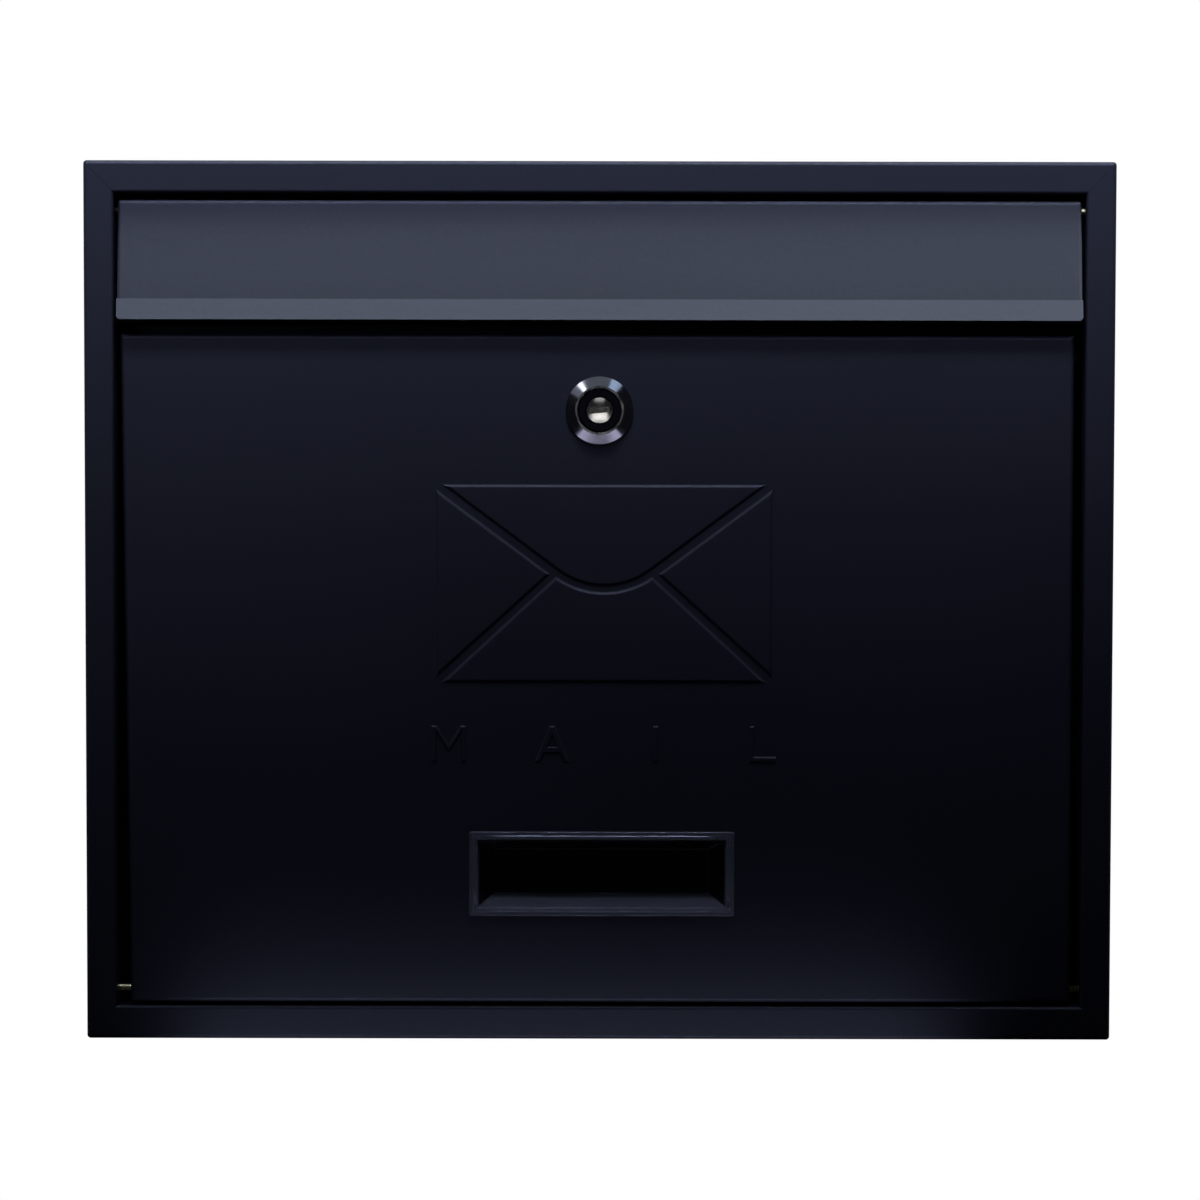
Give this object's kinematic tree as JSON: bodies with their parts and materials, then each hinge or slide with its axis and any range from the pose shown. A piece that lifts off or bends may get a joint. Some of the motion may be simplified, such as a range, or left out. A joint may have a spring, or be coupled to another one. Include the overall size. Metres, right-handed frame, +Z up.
{
  "type": "wall mounted mailbox",
  "caption": "Wall mounted steel mailbox with a top-hinged mail flap above a bottom-hinged door that has a raised envelope, a cam lock and a clear name window.",
  "frame": {"origin": "on the wall plane, at the centre of the back panel's rear face", "axes": "+X right along the width, +Y into the wall, +Z up"},
  "size_m": [0.3624, 0.0976, 0.31],
  "materials": {
    "casing_paint": "satin powder coat, bluish black",
    "flap_paint": "satin powder coat, bluish black",
    "door_paint": "satin powder coat, bluish black",
    "clear_plastic": "clear, glossy",
    "chrome": "polished chrome plate",
    "plug_metal": "bright nickel plate",
    "brass": "stamped brass",
    "zinc_steel": "zinc plated",
    "pin_brass": "yellow zinc plate"
  },
  "bodies": {
    "casing": {"casing_wrap": "casing_paint", "back_panel": "casing_paint", "cross_rail": "casing_paint", "door_pin_left": "pin_brass", "door_pin_right": "pin_brass", "flap_pin_left": "pin_brass", "flap_pin_right": "pin_brass", "pin_rings": "zinc_steel"},
    "flap": {"flap_panel": "flap_paint"},
    "door": {"door_panel": "door_paint", "name_window": "clear_plastic", "lock_body": "chrome", "lock_nut_washer": "zinc_steel", "lock_nut": "zinc_steel"},
    "lock_core": {"lock_plug": "plug_metal", "lock_wafers": "brass", "lock_stop_washer": "zinc_steel", "lock_cam": "zinc_steel", "lock_cam_washer": "zinc_steel", "lock_cam_screw": "zinc_steel"}
  },
  "joints": [
    {"name": "flap_hinge", "type": "hinge", "parent": "casing", "child": "flap", "pos_m": [0, -0.0885, 0.1377], "axis": [-1, 0, 0], "range_deg": [0, 80]},
    {"name": "door_hinge", "type": "hinge", "parent": "casing", "child": "door", "pos_m": [0, -0.0885, -0.1373], "axis": [1, 0, 0], "range_deg": [0, 110]},
    {"name": "lock_turn", "type": "hinge", "parent": "door", "child": "lock_core", "pos_m": [0, -0.092, 0.0677], "axis": [0, 1, 0], "range_deg": [0, 90]}
  ]
}
